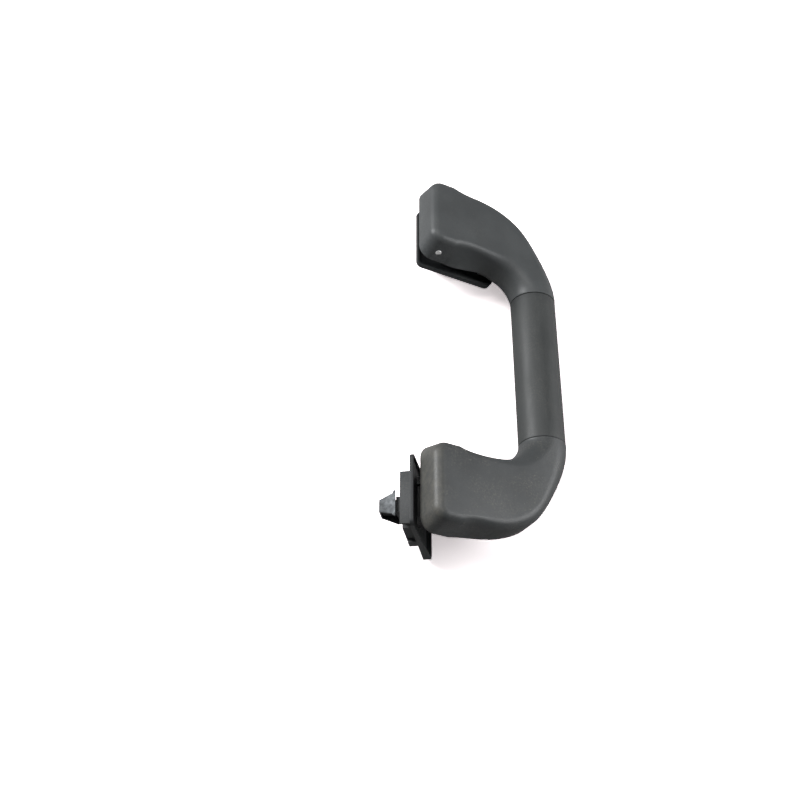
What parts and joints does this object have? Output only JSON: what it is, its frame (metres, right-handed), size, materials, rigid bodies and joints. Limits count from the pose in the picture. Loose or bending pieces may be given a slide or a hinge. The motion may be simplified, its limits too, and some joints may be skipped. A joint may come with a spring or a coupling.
{
  "type": "roof grab handle",
  "caption": "Fold-up roof grab handle: round grip between two hollow feet, each hinged on a snap-in bracket with spring clip; one bracket swung open.",
  "frame": {"origin": "on the upper bracket's seat face, in the middle of the free strip between the locating box and the tray's free end", "axes": "+X from the hinge side to the grip, +Y along the grip towards the upper foot, +Z out of the roof panel into the cabin"},
  "size_m": [0.0928, 0.213, 0.0562],
  "materials": {
    "arm_plastic": "fine moulded grain, dusty",
    "grip_plastic": "fine moulded grain, rubbed smoother on the grip",
    "bracket_plastic": "plain moulded, slightly shiny",
    "clip_steel": "stamped spring steel, dull zinc",
    "pin_steel": "ground pin, bright",
    "core_steel": "drawn tube",
    "screw_steel": "zinc plated",
    "spring_steel": "drawn spring wire, oiled",
    "sleeve_plastic": "natural slippery plastic",
    "damper_plastic": "black moulded",
    "rubber": "soft black rubber"
  },
  "bodies": {
    "upper_bracket": {"upper_bracket": "bracket_plastic", "upper_spring_clip": "clip_steel", "upper_stop_pad": "rubber", "upper_return_spring": "spring_steel", "upper_spring_sleeve": "sleeve_plastic"},
    "handle": {"upper_end_arm": "arm_plastic", "lower_end_arm": "arm_plastic", "grip_sleeve": "grip_plastic", "grip_core": "core_steel", "upper_core_screw": "screw_steel", "lower_core_screw": "screw_steel", "upper_hinge_pin": "pin_steel", "lower_hinge_pin": "pin_steel", "lower_damper_rotor": "damper_plastic"},
    "lower_bracket": {"lower_bracket": "bracket_plastic", "lower_spring_clip": "clip_steel", "lower_stop_pad": "rubber", "lower_damper_shell": "damper_plastic", "lower_damper_cap": "damper_plastic", "lower_damper_seal": "rubber"}
  },
  "joints": [
    {"name": "handle_fold", "type": "hinge", "parent": "upper_bracket", "child": "handle", "pos_m": [-0.0334, 0, 0.0152], "axis": [0, -1, 0], "range_deg": [0, 90], "stiffness_Nm_per_rad": 0.05, "springref_deg": -57.3, "deforming": ["upper_return_spring"]},
    {"name": "lower_bracket_swing", "type": "hinge", "parent": "handle", "child": "lower_bracket", "pos_m": [-0.0334, -0.164, 0.0152], "axis": [0, 1, 0], "range_deg": [-52, 38]}
  ]
}
